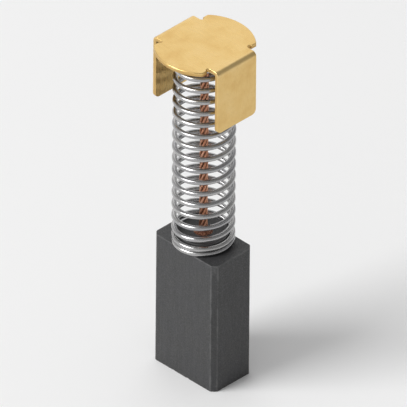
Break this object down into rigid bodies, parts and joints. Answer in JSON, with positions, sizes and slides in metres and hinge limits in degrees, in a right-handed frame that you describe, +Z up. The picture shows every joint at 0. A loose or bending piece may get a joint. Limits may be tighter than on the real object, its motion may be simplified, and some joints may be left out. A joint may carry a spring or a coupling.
{
  "type": "carbon brush",
  "caption": "Carbon brush: a graphite block, a compression spring round a stranded copper shunt, and a folded sheet-metal terminal cap that slides down as the spring is pressed.",
  "frame": {"origin": "centre of the block's contact face, at the bottom of the standing brush", "axes": "+Z up the spring's axis from the contact face to the cap, +X along the block's width and through both ears"},
  "size_m": [0.0084, 0.0094, 0.0358],
  "materials": {
    "carbon": "matte graphite, faintly speckled",
    "copper_powder": "packed dull copper powder",
    "shunt_copper": "bare drawn copper wire",
    "spring_steel": "bright drawn wire",
    "terminal_brass": "stamped sheet, satin",
    "solder": "smooth tin solder"
  },
  "bodies": {
    "brush": {"carbon_block": "carbon", "tamping_plug": "copper_powder", "shunt_core": "shunt_copper", "shunt_strand_1": "shunt_copper", "shunt_strand_2": "shunt_copper", "shunt_strand_3": "shunt_copper", "shunt_strand_4": "shunt_copper", "shunt_strand_5": "shunt_copper", "shunt_strand_6": "shunt_copper", "spring": "spring_steel"},
    "terminal": {"terminal_cap": "terminal_brass", "solder_joint": "solder"}
  },
  "joints": [
    {"name": "terminal_slide", "type": "slide", "parent": "brush", "child": "terminal", "axis": [0, 0, -1], "range_m": [0, 0.0115], "stiffness_N_per_m": 230, "springref_m": -0.0015, "deforming": ["spring", "shunt_core", "shunt_strand_1", "shunt_strand_2", "shunt_strand_3", "shunt_strand_4", "shunt_strand_5", "shunt_strand_6"]}
  ]
}
